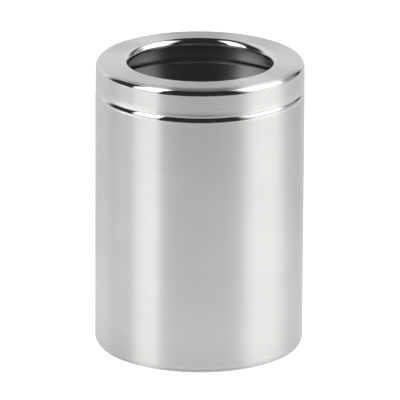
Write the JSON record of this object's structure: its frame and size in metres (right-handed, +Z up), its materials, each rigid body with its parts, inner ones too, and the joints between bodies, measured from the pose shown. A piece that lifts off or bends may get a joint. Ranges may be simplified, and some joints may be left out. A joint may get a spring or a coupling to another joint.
{
  "type": "tabletop bottle cooler stand",
  "caption": "Free-standing brushed steel cylinder with a lift-off ring top, made to hold a champagne bottle upright and cold on a table.",
  "frame": {"origin": "centre of the foot, on the surface that the cooler stands on", "axes": "+Z up along the cylinder's axis; X and Y are any two radial directions, since every piece is round about Z"},
  "size_m": [0.14, 0.14, 0.1992],
  "materials": {
    "brushed_steel": "satin, brushed round the cylinder, with polished bends",
    "plate_steel": "plain satin sheet",
    "foot_rubber": "matt",
    "seat_silicone": "satin"
  },
  "bodies": {
    "vessel": {"body_shell": "brushed_steel", "base_plate": "plate_steel", "foot_ring": "foot_rubber"},
    "seat": {"seat_ring": "seat_silicone"},
    "top": {"ring_top": "brushed_steel"}
  },
  "joints": [
    {"name": "ring_top_turn", "type": "hinge", "parent": "vessel", "child": "seat", "pos_m": [0, 0, 0.1975], "axis": [0, 0, 1], "continuous": true},
    {"name": "ring_top_lift", "type": "slide", "parent": "seat", "child": "top", "axis": [0, 0, 1], "range_m": [0, 0.06]}
  ]
}
